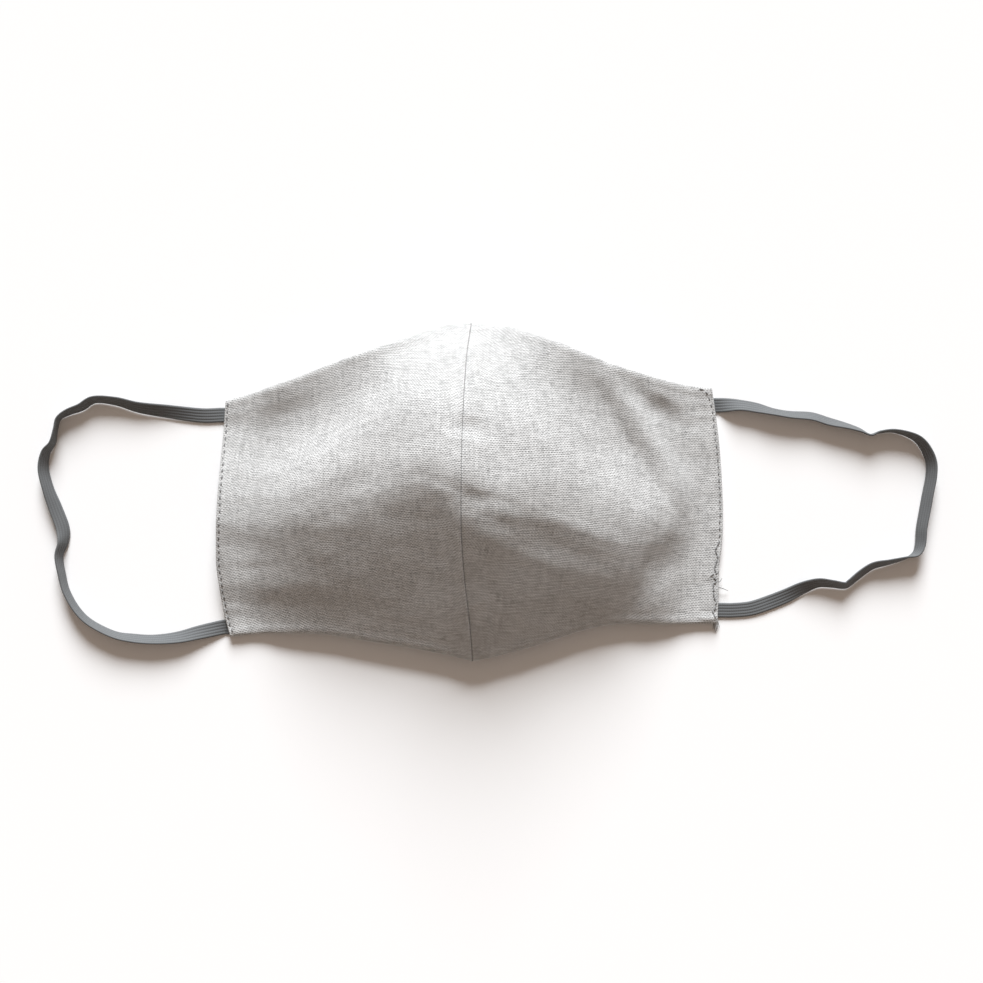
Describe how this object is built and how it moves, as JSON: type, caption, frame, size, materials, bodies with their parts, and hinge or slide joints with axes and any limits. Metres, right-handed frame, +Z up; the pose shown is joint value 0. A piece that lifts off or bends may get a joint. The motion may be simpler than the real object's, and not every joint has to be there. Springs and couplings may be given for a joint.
{
  "type": "cloth face mask",
  "caption": "Contoured two-panel cloth face mask with flat elastic ear loops, lying with its outside up, for covering nose, mouth and chin.",
  "frame": {"origin": "on the table, under the middle of the cloth body without its ear loops", "axes": "+X across the mask from the left ear loop to the right one, +Y from the chin edge to the nose edge, +Z up out of the cloth's outside"},
  "size_m": [0.3803, 0.1424, 0.0453],
  "materials": {
    "grey_cloth": "plain-woven matt cotton, light warm grey",
    "grey_elastic": "flat ribbed knitted elastic, dark grey"
  },
  "bodies": {
    "root": {"left_panel": "grey_cloth", "right_panel": "grey_cloth", "left_side_hem": "grey_cloth", "right_side_hem": "grey_cloth", "left_ear_loop": "grey_elastic", "right_ear_loop": "grey_elastic"}
  },
  "joints": []
}
